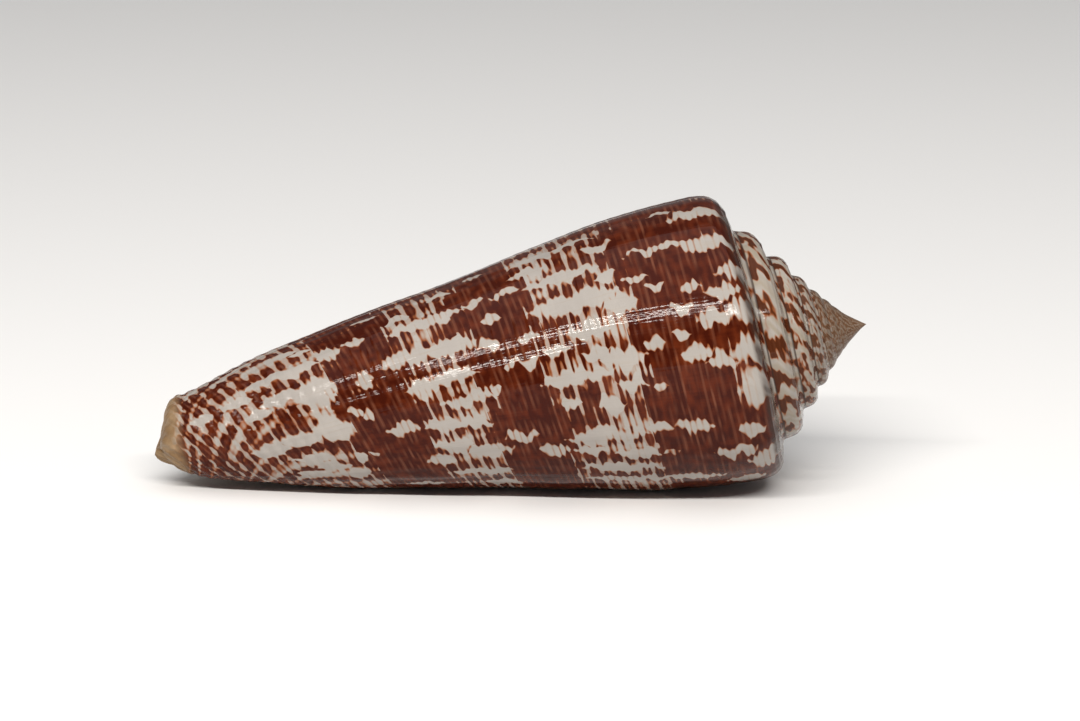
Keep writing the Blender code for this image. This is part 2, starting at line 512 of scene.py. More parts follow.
def store(tree, mesh, name, kind, domain, value):
    settings = {"data_type": kind, "domain": domain}
    inputs = {"Geometry": mesh, "Name": name, "Value": value}
    return step(tree, "GeometryNodeStoreNamedAttribute", settings, **inputs)


def move_to(tree, mesh, position):
    return step(tree, "GeometryNodeSetPosition", Geometry=mesh, Position=position)


def wrap(tree, mesh, turn, radius, depth, lip_depth):
    """Keep the growth coordinates of a sheet and wind it round the axis."""
    spot = combine(tree, turn, lip_depth, 0.0)
    mesh = store(tree, mesh, GROWTH_MAP, "FLOAT2", "CORNER", spot)
    (height,) = use(tree, relief, turn, lip_depth)
    mesh = store(tree, mesh, "relief", "FLOAT", "POINT", height)
    (position,) = use(tree, winding, turn, radius, depth)
    return move_to(tree, mesh, position)


print("cells round one turn:", COLUMNS_PER_TURN)

# %% [markdown]
# The ramps and shoulders of all nine turns are one long sheet. Its last columns are drawn in by a
# fifth of a millimetre, and so are the side's, because a real lip is thin and rounded rather than
# sawn off.

# %% Ramps, shoulders and side
SIDE_ROWS = 132
FRONT_ROWS = 16
LIP_DRAWN_IN = 0.22
LIP_EDGE_TURNS = 0.0045

ramps, (columns,) = new_group("Ramps", GEOMETRY, {"Columns per turn": "count"}, {"Mesh": "mesh"})
mesh, x, y = sheet(ramps, columns * TURNS + 1, RAMP_ROWS + 1)
turn = x * TURNS
radius, depth, lip_depth = use(ramps, ramp_outline, turn, y)
radius = radius - turn.share(TURNS - LIP_EDGE_TURNS, TURNS) * y * LIP_DRAWN_IN
give(ramps, Mesh=wrap(ramps, mesh, turn, radius, depth, lip_depth))

side, (columns,) = new_group("Side", GEOMETRY, {"Columns per turn": "count"}, {"Mesh": "mesh"})
mesh, x, y = sheet(side, columns + 1, SIDE_ROWS + FRONT_ROWS + 1)
turn = x + (TURNS - 1)
side_ends = SIDE_ROWS / (SIDE_ROWS + FRONT_ROWS)
front = y.share(side_ends, 1)
radius, depth, lip_depth = use(side, side_outline, turn, y.share(0, side_ends), front)
radius = radius - turn.share(TURNS - LIP_EDGE_TURNS, TURNS) * (1 - front) * LIP_DRAWN_IN
give(side, Mesh=wrap(side, mesh, turn, radius, depth, lip_depth))
print("outside:", COLUMNS_PER_TURN * (TURNS * RAMP_ROWS + SIDE_ROWS + FRONT_ROWS), "cells")

# %% [markdown]
# Where growth has stopped, a narrow face closes the solid, from the newest edge across to the same
# place one turn earlier. It has a row for every row of the two sheets, so that all three weld.

# %% The face at the lip
all_rows = RAMP_ROWS + SIDE_ROWS + FRONT_ROWS
ramp_ends = RAMP_ROWS / all_rows
side_ends = (RAMP_ROWS + SIDE_ROWS) / all_rows

lip_face, () = new_group("Lip face", GEOMETRY, {}, {"Mesh": "mesh"})
mesh, across, y = sheet(lip_face, 2, all_rows + 1)
turn = TURNS - across
edge = (1 - across) * LIP_DRAWN_IN
on_ramp = y.share(0, ramp_ends)
front = y.share(side_ends, 1)
radius, depth, lip_depth = use(lip_face, ramp_outline, turn, across.between(on_ramp, 1))
low_radius, low_depth, low_lip = use(
    lip_face, side_outline, turn, y.share(ramp_ends, side_ends), front
)
below = y.math("GREATER_THAN", ramp_ends + 0.5 / all_rows)
radius = below.between(radius - edge * on_ramp, low_radius - edge * (1 - front))
depth = below.between(depth, low_depth)
lip_depth = below.between(lip_depth, low_lip)
give(lip_face, Mesh=wrap(lip_face, mesh, turn, radius, depth, lip_depth))
print("rows of the face at the lip:", all_rows)

# %% [markdown]
# ## The room the animal lived in
#
# The room is a second wound body. Its outer side is the outline moved in by the thickness of the
# wall, and its inner side is the turn before. It runs out past the lip and past the front end, so
# that cutting it out opens the long aperture and the canal. Building the inner wall as sheets of
# its own would be lighter, but their edges would have to be matched by hand.

# %% Outline of the room
WALL = 1.25
LIP_THICKNESS = 0.6
LIP_TAPER_TURNS = 0.10
INNER_RELIEF = 0.25
RELIEF_PER_TURN = 4.0
CANAL_TURNS = 0.16
CANAL_CLOSED_TURNS = 0.30
CANAL_CLOSED_DEPTH = 56.0
ROOM_TURNS = 0.86
ROOM_END_DEPTH = 48.0
PAST_TIP = 68.0
ROOM_TOP = 2 / 7
PART_SHARE = 1 / 7
ROOM_RAMP = 0.25

room_outline, (turn, down, inward) = new_group(
    "Room outline",
    GEOMETRY,
    {"Turn": "number", "Share": "number", "Inward": "number"},
    {"Radius": "number", "Depth": "number"},
)
behind = TURNS - turn
wall = behind.share(0, LIP_TAPER_TURNS).between(LIP_THICKNESS, WALL)
on_ramp = down.share(0, ROOM_RAMP).between(ROOM_TOP, 1.0)
radius, depth, _ = use(room_outline, ramp_outline, turn, on_ramp)
above = use(room_outline, ramp_outline, turn, on_ramp - PART_SHARE)
after = use(room_outline, ramp_outline, turn, (on_ramp + PART_SHARE).math("MINIMUM", 1.0))
outward = after[0] - above[0]
deeper = after[1] - above[1]
length = (outward * outward + deeper * deeper).math("SQRT")
radius = radius - deeper / length * wall
depth = depth + outward / length * wall

canal_open = behind.math("LESS_THAN", CANAL_TURNS) * (PAST_TIP - FRONT_DEPTH)
closing = behind.share(CANAL_TURNS, CANAL_CLOSED_TURNS) * (FRONT_DEPTH - CANAL_CLOSED_DEPTH)
ending = behind.share(CANAL_CLOSED_TURNS, ROOM_TURNS) * (CANAL_CLOSED_DEPTH - ROOM_END_DEPTH)
floor_depth = FRONT_DEPTH + canal_open - closing - ending
depth = down.share(ROOM_RAMP, 1).between(depth, floor_depth)
(side_here,) = use(room_outline, side_radius, turn, depth)
outer = down.math("GREATER_THAN", ROOM_RAMP).between(radius, side_here - wall)
(earlier,) = use(room_outline, side_radius, turn - 1, depth)
inner = earlier - (behind * RELIEF_PER_TURN).math("MINIMUM", INNER_RELIEF)
give(room_outline, Radius=inward.between(outer, inner), Depth=depth)
print("wall:", WALL, "mm, and", LIP_THICKNESS, "mm at the lip")

# %% [markdown]
# One sheet goes right round the room: down the outer side, across, up the inner side and across
# again. Two small sheets close its ends. All three only need the outline above, and then they are
# joined and welded like the sheets outside.

# %% Join and weld sheets
WELD = 3e-7


def join_all(tree, meshes):
    node = tree.nodes.new("GeometryNodeJoinGeometry")
    for mesh in meshes:
        tree.links.new(mesh.socket, node.inputs[0])
    return Flow(tree, node.outputs[0])


def weld(tree, mesh):
    return step(tree, "GeometryNodeMergeByDistance", Geometry=mesh, Distance=WELD)


print("points closer than", WELD, "m become one")

# %% The room as a closed body
ROOM_COLUMNS = 96
ROOM_ROWS = 90
MOUTH_TURNS = 0.05


def wind_room(tree, mesh, turn, down, inward):
    radius, depth = use(tree, room_outline, turn, down, inward)
    mesh = store(tree, mesh, GROWTH_MAP, "FLOAT2", "CORNER", combine(tree, turn, depth, 0.0))
    (position,) = use(tree, winding, turn, radius, depth)
    return move_to(tree, mesh, position)


room, () = new_group("Room", GEOMETRY, {}, {"Mesh": "mesh"})
loop = 2 * ROOM_ROWS + 2
mesh, x, y = sheet(room, ROOM_COLUMNS + 1, loop + 1)
row = y * loop
down = row.share(0, ROOM_ROWS) - row.share(ROOM_ROWS + 1, loop - 1)
inward = row.share(ROOM_ROWS, ROOM_ROWS + 1) - row.share(loop - 1, loop)
room_begins = TURNS - ROOM_TURNS
mouth = TURNS + MOUTH_TURNS
parts = [wind_room(room, mesh, x.between(room_begins, mouth), down, inward)]
for end_turn in (room_begins, mouth):
    mesh, across, down = sheet(room, 2, ROOM_ROWS + 1)
    end = wind_room(room, mesh, across * 0 + end_turn, down, across)
    if end_turn == room_begins:
        end = step(room, "GeometryNodeFlipFaces", Mesh=end)
    parts.append(end)
inside_faces = store(room, join_all(room, parts), "inside", "FLOAT", "FACE", 1.0)
give(room, Mesh=weld(room, inside_faces))
print("the room goes back", ROOM_TURNS, "of a turn")

# %% [markdown]
# ## Welding, cutting and laying down
#
# The sheets are joined and welded, and only then moved by their relief, each point along its own
# normal, so no crack can open at a seam. The room is cut out with a Boolean node. The shell is
# then pitched until it lies as in the photograph and set down with a hair taken off underneath.

# %% The whole shell as one tree
def stored(tree, name):
    """A number that a sheet has stored, at each point or face."""
    return step(tree, "GeometryNodeInputNamedAttribute", {"data_type": "FLOAT"}, Name=name)


shell_tree, (columns, pitch, flat, outside_finish, inside_finish) = new_group(
    "Cone shell",
    GEOMETRY,
    {
        "Columns per turn": "count",
        "Axis pitch": "number",
        "Flat depth": "number",
        "Outside finish": "material",
        "Inside finish": "material",
    },
    {"Geometry": "mesh"},
)
sheets = use(shell_tree, ramps, columns) + use(shell_tree, side, columns)
rim = store(shell_tree, use(shell_tree, lip_face)[0], "inside", "FLOAT", "FACE", 1.0)
body = weld(shell_tree, join_all(shell_tree, sheets + [rim]))
along_normal = place_node(
    shell_tree,
    "ShaderNodeVectorMath",
    {"operation": "SCALE"},
    Vector=step(shell_tree, "GeometryNodeInputNormal"),
    Scale=stored(shell_tree, "relief") * MM,
)
offset = Flow(shell_tree, along_normal.outputs[0])
raised = step(shell_tree, "GeometryNodeSetPosition", Geometry=body, Offset=offset)
cutting = {"operation": "DIFFERENCE", "solver": "MANIFOLD"}
cut = place_node(shell_tree, "GeometryNodeMeshBoolean", cutting)
shell_tree.links.new(raised.socket, cut.inputs["Mesh 1"])
shell_tree.links.new(use(shell_tree, room)[0].socket, cut.inputs["Mesh 2"])
print("sheets in the shell:", len(sheets) + 1)

# %% [markdown]
# A cone shell on its side doesn't lie level, because its wide end lifts the axis. The tree pitches
# the shell, centres it by its bounding box with an allowance for the spout, and presses the lowest
# hair flat on the floor. Edges sharper than a chosen angle stay crisp, and each face gets its
# finish.

# %% Lay it down and finish the mesh
AXIS_PITCH = math.radians(10.2)
FLAT_DEPTH = 0.08
SPOUT_ALLOWANCE = 0.33
SHARP_EDGE = math.radians(48)

turned = step(
    shell_tree,
    "GeometryNodeTransform",
    Geometry=Flow(shell_tree, cut.outputs["Mesh"]),
    Rotation=combine(shell_tree, 0.0, pitch * -1, 0.0),
)
box = place_node(shell_tree, "GeometryNodeBoundBox", Geometry=turned)
low = separate(shell_tree, Flow(shell_tree, box.outputs["Min"]))
high = separate(shell_tree, Flow(shell_tree, box.outputs["Max"]))
shift = combine(
    shell_tree,
    (low[0] + high[0]) * -0.5 - SPOUT_ALLOWANCE * MM,
    (low[1] + high[1]) * -0.5,
    low[2] * -1 - flat * MM,
)
placed = step(shell_tree, "GeometryNodeTransform", Geometry=turned, Translation=shift)
x, y, z = separate(shell_tree, step(shell_tree, "GeometryNodeInputPosition"))
standing = move_to(shell_tree, placed, combine(shell_tree, x, y, z.math("MAXIMUM", 0.0)))
smoothed = step(
    shell_tree,
    "GeometryNodeSetShadeSmooth",
    {"domain": "EDGE"},
    Geometry=standing,
    Selection=step(shell_tree, "GeometryNodeInputMeshEdgeAngle").math("GREATER_THAN", SHARP_EDGE),
    Shade_Smooth=False,
)
realized = step(shell_tree, "GeometryNodeRealizeInstances", Geometry=smoothed)
painted = step(
    shell_tree, "GeometryNodeSetMaterial", Geometry=realized, Material=outside_finish
)
lined = step(
    shell_tree,
    "GeometryNodeSetMaterial",
    Geometry=painted,
    Selection=stored(shell_tree, "inside").math("GREATER_THAN", 0.5),
    Material=inside_finish,
)
give(shell_tree, Geometry=lined)
print("nodes in the shell's tree:", len(shell_tree.nodes))

# %% [markdown]
# ## Where on the shell am I?
#
# The colours were laid down at the lip as it grew, so the pattern is drawn in growth coordinates:
# turns back from the lip, and depth at the lip in millimetres. A spiral row has one lip depth all
# the way round, and a growth line has one number of turns. At the front end the growth lines sweep
# back, and the streak coordinate follows them.

# %% Growth coordinates for the materials
SHADER = "ShaderNodeTree"
SWEEP_BEGINS = 61.0
SWEEP_FULL = 74.0
SWEEP = 0.034
RAMP_SLANT = 0.016
SLANT_BELOW = 13.4

place_outputs = ("Turns back", "Lip depth", "Streak", "Size", "Depth")
growth_place, () = new_group(
    "Growth place", SHADER, {}, {label: "number" for label in place_outputs}
)
uv = step(growth_place, "ShaderNodeUVMap", {"uv_map": GROWTH_MAP})
turn, lip_depth, _ = separate(growth_place, uv)
back = TURNS - turn
size = WHORL_GROWTH ** (back * -1)
bend = lip_depth.share(SWEEP_BEGINS, SWEEP_FULL)
swept = (SWEEP_FULL - SWEEP_BEGINS) * SWEEP * (bend**3.0 - bend**4.0 * 0.5)
swept = swept + (lip_depth - SWEEP_FULL).math("MAXIMUM", 0.0) * SWEEP
ramp_slant = (SLANT_BELOW - lip_depth).math("MAXIMUM", 0.0) * -RAMP_SLANT
give(
    growth_place,
    Turns_back=back,
    Lip_depth=lip_depth,
    Streak=back - swept + ramp_slant,
    Size=size,
    Depth=lip_depth * size + APEX_RISE,
)
print("growth coordinates:", ", ".join(place_outputs))

# %% [markdown]
# The spire has its own, coarser pattern. Depth alone can't tell it from the last whorl's shoulder,
# because the pattern of the side runs on round to the opening, so the turn decides as well.

# %% Tell the spire from the last whorl
SPIRE_FROM = (0.80, 0.95)
SPIRE_ABOVE = (15.4, 14.6)


def on_spire(back, lip_depth):
    """1 on the earlier turns of the spire, 0 on the last whorl's side all the way round."""
    return back.smooth(*SPIRE_FROM) * lip_depth.smooth(*SPIRE_ABOVE)


print("the spire's pattern begins", SPIRE_FROM[0], "of a turn back from the lip")

# %% [markdown]
# ## Rows
#
# The marks stand in spiral rows, a wide one and a narrow one by turns. The rows' edges wander a
# little. Everything that is decided once for a row, such as its own shift of phase, reads the
# row's number.

# %% Spiral rows, wide and narrow by turns
ROW_PAIR = 2.84
ROW_START = 0.49
WIDE_SHARE = 0.56
WIDE_HALF = ROW_PAIR * WIDE_SHARE / 2
NARROW_HALF = ROW_PAIR * (1 - WIDE_SHARE) / 2
ROW_WANDER = 0.13
ROW_GRAIN = (9.0, 0.35, 2.0)
THREADS_PER_PAIR = 4

rows, (back, lip_depth) = new_group(
    "Spiral rows",
    SHADER,
    {"Turns back": "number", "Lip depth": "number"},
    {"Number": "number", "Middle": "number", "From edge": "number", "Thread": "number"},
)
wandering = lip_depth + noise(rows, back, lip_depth, ROW_GRAIN) * ROW_WANDER
pairs = (wandering - ROW_START) / ROW_PAIR
pair = pairs.math("FLOOR")
narrow = (pairs - pair).math("GREATER_THAN", WIDE_SHARE)
middle = (pair + narrow.between(WIDE_SHARE / 2, (1 + WIDE_SHARE) / 2)) * ROW_PAIR + ROW_START
half = narrow.between(WIDE_HALF, NARROW_HALF)
give(
    rows,
    Number=pair * 2 + narrow,
    Middle=middle,
    From_edge=half - (wandering - middle).math("ABSOLUTE"),
    Thread=(pairs * (math.tau * THREADS_PER_PAIR)).math("COSINE"),
)
print("rows:", round(2 * WIDE_HALF, 2), "and", round(2 * NARROW_HALF, 2), "mm wide")

# %% [markdown]
# ## How dark each zone is
#
# Three dark bands run round the shell with two sparse ones between them. This curve gives how
# dense the brown is at each depth: 1 makes an unbroken dark zone, 0 makes separate marks on white,
# and less than 0 leaves mostly white.

# %% Density of the brown, by depth
ZONES = (
    (10.5, 0.35),
    (12.5, 0.45),
    (14.2, 0.55),
    (15.6, 0.80),
    (17.0, 0.90),
    (23.4, 0.95),
    (24.8, 0.20),
    (25.6, 0.00),
    (33.0, 0.00),
    (34.6, 0.85),
    (40.2, 0.95),
    (41.6, 0.25),
    (42.6, 0.00),
    (47.4, 0.00),
    (48.8, 0.85),
    (54.6, 0.95),
    (56.4, 0.30),
    (57.6, -0.10),
    (61.0, -0.15),
    (69.0, -0.05),
    (72.0, 0.20),
    (90.0, 0.30),
)
print("zones:", len(ZONES), "points from shoulder to front end")

# %% [markdown]
# ## Marks placed one by one
#
# Chance alone would give a shell of this kind, but not this one. The white bars and waves that
# catch the eye, and the largest dark blocks, are therefore placed one by one, where they sit on
# the real shell. Each is a lens with pointed ends, in growth coordinates: turns back, lip depth,
# half its height along the growth, and half its length.

# %% White bars and waves, from shoulder to front end
WHITE_MARKS = (
    # Bars on the shoulder
    (0.398, 14.6, 0.011, 3.6),
    (0.447, 14.4, 0.010, 3.2),
    (0.487, 12.0, 0.011, 2.6),
    (0.510, 14.0, 0.008, 2.0),
    (0.534, 12.2, 0.012, 2.6),
    (0.538, 15.6, 0.008, 1.8),
    (0.577, 12.0, 0.014, 3.0),
    (0.585, 15.8, 0.009, 1.7),
    (0.622, 12.0, 0.021, 3.2),
    (0.667, 14.2, 0.010, 1.6),
    (0.697, 15.2, 0.008, 1.5),
    (0.722, 12.2, 0.019, 3.4),
    (0.770, 15.8, 0.011, 2.6),
    # Upper dark zone
    (0.379, 18.3, 0.004, 1.3),
    (0.443, 19.0, 0.005, 4.2),
    (0.492, 20.8, 0.005, 1.1),
    (0.478, 22.6, 0.005, 1.5),
    (0.500, 17.2, 0.006, 1.1),
    (0.522, 18.6, 0.006, 1.3),
    (0.550, 19.3, 0.004, 1.0),
    (0.557, 22.3, 0.008, 1.2),
    (0.572, 18.2, 0.009, 1.8),
    (0.603, 22.7, 0.005, 0.9),
    (0.654, 20.2, 0.009, 2.2),
    (0.655, 23.9, 0.007, 1.4),
    (0.699, 17.2, 0.010, 1.7),
    (0.691, 23.4, 0.005, 1.1),
    (0.745, 21.5, 0.007, 3.8),
    # Upper sparse zone
    (0.394, 29.8, 0.005, 4.4),
    (0.421, 25.2, 0.006, 1.8),
    (0.421, 33.2, 0.007, 2.0),
    (0.449, 30.0, 0.007, 4.2),
    (0.468, 25.4, 0.005, 1.2),
    (0.490, 29.4, 0.011, 5.0),
    (0.507, 24.6, 0.009, 2.0),
    (0.567, 25.8, 0.010, 2.6),
    (0.530, 28.6, 0.007, 2.2),
    (0.545, 32.4, 0.006, 1.6),
    (0.557, 28.5, 0.007, 1.7),
    (0.584, 31.3, 0.008, 4.0),
    (0.598, 25.6, 0.007, 1.7),
    (0.622, 28.4, 0.008, 1.5),
    (0.617, 32.6, 0.006, 1.2),
    (0.661, 30.0, 0.010, 4.6),
    (0.692, 27.0, 0.007, 2.5),
    (0.683, 32.3, 0.007, 1.9),
    (0.717, 29.4, 0.006, 4.6),
    (0.744, 29.0, 0.007, 5.0),
    # Middle dark zone
    (0.374, 38.1, 0.006, 1.2),
    (0.443, 35.8, 0.007, 1.7),
    (0.442, 39.1, 0.006, 1.3),
    (0.481, 38.0, 0.007, 1.2),
    (0.515, 39.1, 0.010, 1.2),
    (0.523, 35.0, 0.006, 1.4),
    (0.553, 35.6, 0.007, 1.1),
    (0.549, 37.5, 0.007, 1.0),
    (0.583, 39.9, 0.004, 0.6),
    (0.656, 38.9, 0.009, 2.0),
    (0.681, 36.0, 0.011, 1.9),
    # Lower sparse zone
    (0.395, 42.0, 0.005, 1.4),
    (0.418, 47.0, 0.006, 1.4),
    (0.447, 44.5, 0.009, 4.4),
    (0.504, 43.0, 0.011, 3.0),
    (0.500, 47.8, 0.014, 3.0),
    (0.550, 43.7, 0.008, 2.8),
    (0.557, 47.4, 0.012, 1.9),
    (0.589, 43.2, 0.008, 3.2),
    (0.625, 43.4, 0.008, 1.9),
    (0.622, 46.8, 0.010, 2.2),
    (0.675, 42.8, 0.011, 2.6),
    (0.662, 46.6, 0.010, 2.0),
    (0.686, 48.9, 0.010, 1.6),
    (0.720, 44.8, 0.007, 3.4),
    (0.762, 43.3, 0.009, 2.2),
    # Lower dark zone
    (0.379, 49.8, 0.005, 1.6),
    (0.434, 52.0, 0.010, 1.3),
    (0.437, 54.7, 0.013, 1.4),
    (0.514, 52.7, 0.015, 1.0),
    (0.577, 53.9, 0.011, 0.7),
    (0.565, 55.1, 0.010, 0.8),
    (0.615, 51.1, 0.013, 1.9),
    (0.655, 55.4, 0.005, 0.6),
    (0.757, 52.4, 0.008, 2.4),
    # Front
    (0.402, 57.2, 0.007, 1.2),
    (0.387, 58.4, 0.009, 1.0),
    (0.447, 58.4, 0.010, 2.3),
    (0.512, 57.8, 0.026, 2.3),
    (0.587, 58.1, 0.024, 2.0),
    (0.665, 57.0, 0.011, 0.7),
    (0.705, 58.4, 0.015, 1.2),
    (0.437, 61.5, 0.008, 2.6),
    (0.463, 65.5, 0.011, 1.7),
    (0.493, 61.4, 0.011, 2.4),
    (0.515, 64.4, 0.011, 1.5),
    (0.592, 61.6, 0.014, 2.6),
    (0.610, 65.8, 0.016, 2.2),
    (0.645, 62.2, 0.007, 2.2),
    (0.676, 60.6, 0.010, 2.0),
    (0.692, 63.6, 0.008, 1.7),
    (0.468, 69.7, 0.016, 1.3),
)
print("white marks placed by eye:", len(WHITE_MARKS))

# %% [markdown]
# A dark block is a place where several rows stayed brown together. Only the largest are placed;
# the rest come from chance.

# %% The largest dark blocks
DARK_MARKS = (
    (0.425, 15.0, 0.014, 4.0),
    (0.465, 13.4, 0.010, 2.4),
    (0.650, 12.6, 0.010, 1.8),
    (0.690, 12.8, 0.014, 2.0),
    (0.760, 12.6, 0.016, 1.9),
    (0.620, 19.6, 0.024, 4.6),
    (0.700, 21.6, 0.024, 3.0),
    (0.405, 21.6, 0.024, 3.8),
    (0.410, 30.0, 0.020, 0.9),
    (0.610, 30.2, 0.020, 0.9),
    (0.620, 36.8, 0.026, 3.6),
    (0.570, 51.6, 0.024, 2.2),
    (0.665, 53.2, 0.024, 2.6),
    (0.552, 61.6, 0.018, 2.0),
    (0.625, 59.0, 0.016, 1.8),
)
print("dark blocks placed by eye:", len(DARK_MARKS))

# %% [markdown]
# The lens is one small group, used once for each mark. It gives 0 in the mark's middle and 1 at its
# edge, and the length is raised to a power, so that the ends come to a point. The nearest lens of
# a list decides whether a place is inside a mark.

# %% A lens, and whether a place is inside one
LENS_SWELL = 1.14
LENS_POWERS = (1.0, 2.2, 1.0)
LENS_EDGE = (0.5, 1.4)


def vector_step(tree, operation, *values, result="Vector"):
    """One vector calculation; gives its vector, or its value where result says so."""
    node = place_node(tree, "ShaderNodeVectorMath", {"operation": operation})
    for socket, value in zip(node.inputs, values):
        feed(tree, socket, value)
    return Flow(tree, node.outputs[result])


lens, (place, middle, half_size) = new_group(
    "Lens",
    SHADER,
    {"Place": "vector", "Middle": "vector", "Half size": "vector"},
    {"Outside": "number"},
)
from_middle = vector_step(lens, "DIVIDE", vector_step(lens, "SUBTRACT", place, middle), half_size)
shaped = vector_step(lens, "POWER", vector_step(lens, "ABSOLUTE", from_middle), LENS_POWERS)
give(lens, Outside=vector_step(lens, "DOT_PRODUCT", shaped, (1.0, 1.0, 0.0), result="Value"))


def inside_any(tree, here, placed_marks):
    """1 inside any of these lenses and 0 outside, with a soft edge."""
    nearest = None
    for back, depth, half_height, half_length in placed_marks:
        extent = (half_height * LENS_SWELL, half_length, 1.0)
        (away,) = use(tree, lens, here, (back, depth, 0.0), extent)
        nearest = away if nearest is None else nearest.math("MINIMUM", away)
    return 1 - nearest.smooth(*LENS_EDGE)


print("a lens is drawn", LENS_SWELL, "times as high as its mark")

# %% [markdown]
# ## The field that decides brown or white
#
# Whether a place is brown is one number, built up in the next cells: the zone's density, waves and
# chance, gaps between the rows, spiral threads, and the listed marks. A painted image would only
# serve one view; a sum of rules goes all the way round. Most of the rules read the row's middle
# rather than the exact depth, and that gives the brown areas their stepped outlines.

# %% The zone of each place
STEPPED = 0.8
STEPS_FADE = (72, 64)
BORDER_WANDER = 1.1
BORDER_GRAIN = (16.0, 0.1, 3.0)
BORDER_JAGS = 0.8
JAG_GRAIN = (55.0, 1.7, 5.0)
DENSE_FROM = (0.25, 0.9)

mark_outputs = ("Field", "From edge", "Number", "Thread", "Gap")
marks, () = new_group("Marks", SHADER, {}, {label: "number" for label in mark_outputs})
back, lip_depth, streak, _, _ = use(marks, growth_place)
number, middle, from_edge, thread = use(marks, rows, back, lip_depth)
stepped = lip_depth.smooth(*STEPS_FADE) * STEPPED
seen_depth = stepped.between(lip_depth, middle)
border = noise(marks, streak, seen_depth, BORDER_GRAIN) * BORDER_WANDER
border = border + noise(marks, streak, number, JAG_GRAIN) * BORDER_JAGS
density = curve_through(marks, ZONES, seen_depth + border)
dense = density.smooth(*DENSE_FROM)
print("the marks give:", ", ".join(mark_outputs))

# %% [markdown]
# Colour was laid down in waves along the growth, which cut the rows into marks. Each row shifts
# them a little. Strands of chance cross several rows, and cells of chance fill a single one.

# %% Waves, strands and cells
WAVE = 0.037
WAVE_HEIGHT = 0.42
FRONT_WAVE = 0.052
FRONT_WAVE_HEIGHT = 0.62
FRONT_WAVES_FROM = (55, 57)
FRONT_FROM = (55, 60)
ROW_SHIFT = 0.004
SHIFT_GRAIN = (7.31, 12.0, 0.0)
WAVE_BEND = 0.010
BEND_GRAIN = (9.0, 0.16, 4.0)
STRAND_HEIGHT = 0.85
SPARSE_STRAND = 0.50
STRAND_GRAIN = (48.0, 0.17, 30.0)
CELL_HEIGHT = 0.30
CELL_GRAIN = (60.0, 3.7, 1.5)

row_shift = noise(marks, number, streak, SHIFT_GRAIN) * ROW_SHIFT
bent = noise(marks, streak, lip_depth, BEND_GRAIN) * WAVE_BEND
phase = (streak + row_shift + bent) * math.tau
short_wave = (phase / WAVE).math("COSINE")
long_wave = (phase / FRONT_WAVE).math("COSINE")
wave = lip_depth.smooth(*FRONT_WAVES_FROM).between(short_wave, long_wave)
front = lip_depth.smooth(*FRONT_FROM)
strand = noise(marks, streak + row_shift, lip_depth, STRAND_GRAIN)
cell = noise(marks, streak, number, CELL_GRAIN)
chance = wave * front.between(WAVE_HEIGHT, FRONT_WAVE_HEIGHT)
chance = chance + strand * dense.between(SPARSE_STRAND, STRAND_HEIGHT)
chance = chance + cell * CELL_HEIGHT
print("waves in a turn:", round(1 / WAVE), "on the side,", round(1 / FRONT_WAVE), "at the front")

# %% [markdown]
# Thin gaps part the rows, and here and there a mark bridges one. Where the listed marks lie,
# chance is calmed so that they stand out. On the rest of the shell, white tents made by chance
# break the dark zones instead.

# %% Gaps between rows, and tents by chance
PLACED_FROM = (0.30, 0.36)
PLACED_UNTIL = (0.84, 0.78)
SEEN_CALM = 0.35
SEEN_LIFT = 0.12
MARK_SHARE = 0.28
DENSE_LIFT = 0.78
ROWS_BEGIN = (13.0, 15.5)
ROWS_END = (78, 72)
GAP_WIDTH = 0.50
DENSE_GAP_WIDTH = 0.30
GAP_DIP = 0.95
DENSE_DIP = 0.10
GAP_EDGE = (0.1, 1.0)
BRIDGES = (0.05, 0.6)
BRIDGE_SHARE = 0.8
BRIDGE_GRAIN = (40.0, 2.9, 17.0)
STEEPNESS = 2.2
HIGHEST = 1.5
LOWEST = -1.1
TENTS = (0.20, 0.62)
TENT_PULL = 2.3
TENT_GRAIN = (64.0, 0.42, 51.0)

placed = back.smooth(*PLACED_FROM) * back.smooth(*PLACED_UNTIL)
calm = 1 - placed * SEEN_CALM
open_field = density * DENSE_LIFT + MARK_SHARE + placed * SEEN_LIFT + chance * calm
row_ends = lip_depth.smooth(*ROWS_END) * lip_depth.smooth(*ROWS_BEGIN)
row_pair = (number * 0.5).math("ROUND")
bridged = noise(marks, streak, row_pair, BRIDGE_GRAIN).smooth(*BRIDGES)
gap_width = dense.between(GAP_WIDTH, DENSE_GAP_WIDTH)
gap = (1 - (from_edge / gap_width).smooth(*GAP_EDGE)) * row_ends * (1 - bridged * BRIDGE_SHARE)
field = (open_field - gap * dense.between(GAP_DIP, DENSE_DIP)) * STEEPNESS
field = field.math("MINIMUM", HIGHEST).math("MAXIMUM", LOWEST)
tents = noise(marks, streak, lip_depth, TENT_GRAIN).smooth(*TENTS)
field = field - tents * (1 - placed) * dense * TENT_PULL
print("marks are placed by eye over", round(PLACED_UNTIL[1] - PLACED_FROM[1], 2), "of a turn")

# %% [markdown]
# Every edge of a mark is toothed by the spiral threads and wobbles a little. The listed marks come
# last, so that they win over chance.

# %% Teeth, and the listed marks
TEETH = 0.70
FRONT_TEETH = 0.25
TEETH_UNEVEN = 0.6
TEETH_MEAN = 0.9
TEETH_GRAIN = (30.0, 0.5, 27.0)
THREAD_SHIFT = 0.0050
THREAD_SHIFT_GRAIN = (0.8, 16.0, 41.0)
EDGE_WOBBLE = 0.0030
EDGE_GRAIN = (60.0, 0.9, 8.0)
DARK_PUSH = 1.3
WHITE_PULL = 2.7
RAMP_FROM = (12.0, 11.3)
IN_A_GAP = (0.0, 0.3)

